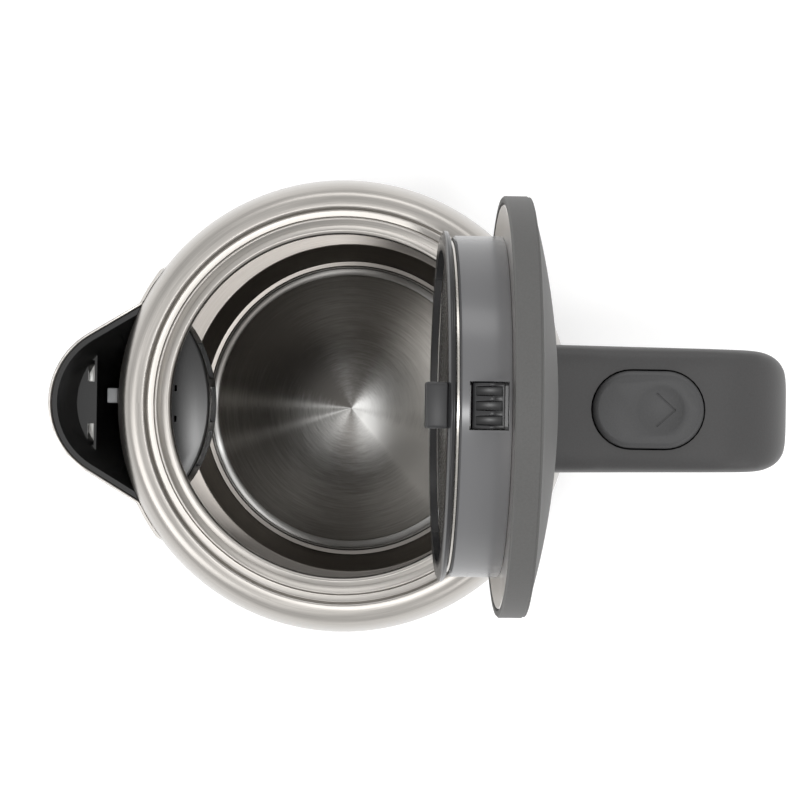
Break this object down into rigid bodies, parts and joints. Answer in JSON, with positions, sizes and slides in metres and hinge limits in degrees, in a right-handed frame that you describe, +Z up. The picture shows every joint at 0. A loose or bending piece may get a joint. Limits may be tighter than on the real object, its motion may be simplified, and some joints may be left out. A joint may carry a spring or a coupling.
{
  "type": "electric kettle",
  "caption": "Cordless steel kettle with an open hinged lid, spout with filter, loop handle with release button, and a power base.",
  "frame": {"origin": "on the jug's vertical axis, at the level that the base's feet stand on", "axes": "+Z up, +X towards the handle, -X towards the spout, +Y across; the lid is open at rest"},
  "size_m": [0.245, 0.158, 0.3596],
  "materials": {
    "brushed_steel": "fine circular brushing",
    "soft_touch_grey": "soft-touch matt",
    "satin_grey": "smooth moulded, semi-gloss",
    "gloss_black": "polished moulding",
    "button_grey": "soft-touch matt",
    "rubber": "matt",
    "seal": "smooth silicone",
    "brass": "stamped",
    "aluminium": "die cast",
    "screw_steel": "zinc plated",
    "mesh_steel": "fine woven mesh"
  },
  "bodies": {
    "power_base": {"base_housing": "soft_touch_grey", "base_plate": "gloss_black", "base_feet": "rubber", "base_screws": "screw_steel", "cord_gland": "rubber", "base_connector": "gloss_black", "base_contacts": "brass"},
    "guide": {"guide_collar": "gloss_black"},
    "jug": {"jug_shell": "brushed_steel", "floor_pan": "brushed_steel", "heating_plate": "brushed_steel", "heat_spreader": "aluminium", "heating_element": "aluminium", "control_unit": "gloss_black", "bimetal_disc": "screw_steel", "jug_socket": "gloss_black", "socket_contacts": "brass", "jug_base": "soft_touch_grey", "jug_base_screws": "screw_steel", "spout": "brushed_steel", "spout_liner": "gloss_black", "handle_shell": "soft_touch_grey", "handle_grip": "soft_touch_grey", "handle_screws": "screw_steel", "hinge_bracket": "gloss_black", "hinge_pin": "screw_steel", "hinge_spring": "screw_steel", "button_spring": "screw_steel", "switch_pin": "screw_steel"},
    "filter": {"filter_frame": "gloss_black", "filter_mesh": "mesh_steel"},
    "lid": {"lid_cap": "soft_touch_grey", "lid_plug": "satin_grey", "latch_guide": "gloss_black", "lid_disc": "brushed_steel", "lid_seal": "seal", "lid_tab": "satin_grey", "lid_screws": "screw_steel"},
    "latch": {"latch_bolt": "gloss_black"},
    "button": {"release_button": "button_grey"},
    "rod": {"push_rod": "gloss_black"},
    "switch": {"power_switch": "gloss_black"}
  },
  "joints": [
    {"name": "base_turn", "type": "hinge", "parent": "power_base", "child": "guide", "pos_m": [0, 0, 0.02], "axis": [0, 0, 1], "continuous": true},
    {"name": "jug_lift", "type": "slide", "parent": "guide", "child": "jug", "axis": [0, 0, 1], "range_m": [0, 0.1]},
    {"name": "lid_hinge", "type": "hinge", "parent": "jug", "child": "lid", "pos_m": [0.057, 0, 0.2386], "axis": [0, 1, 0], "range_deg": [-92.5, 0], "stiffness_Nm_per_rad": 0.07, "springref_deg": 29.79},
    {"name": "button_press", "type": "slide", "parent": "jug", "child": "button", "axis": [0, 0, -1], "range_m": [0, 0.003], "stiffness_N_per_m": 400, "springref_m": -0.0015, "deforming": ["button_spring"]},
    {"name": "rod_slide", "type": "slide", "parent": "jug", "child": "rod", "axis": [-1, 0, 0], "range_m": [0, 0.003]},
    {"name": "latch_slide", "type": "slide", "parent": "lid", "child": "latch", "axis": [-0.0436, 0, -0.999], "range_m": [0, 0.005], "stiffness_N_per_m": 300, "springref_m": -0.002},
    {"name": "switch_tilt", "type": "hinge", "parent": "jug", "child": "switch", "pos_m": [0.11, 0, 0.075], "axis": [0, 1, 0], "range_deg": [0, 12]},
    {"name": "filter_slide", "type": "slide", "parent": "jug", "child": "filter", "axis": [1, 0, 0], "range_m": [0, 0.025]}
  ],
  "couplings": [
    {"joint": "rod_slide", "follows": "button_press", "ratio": 1}
  ]
}
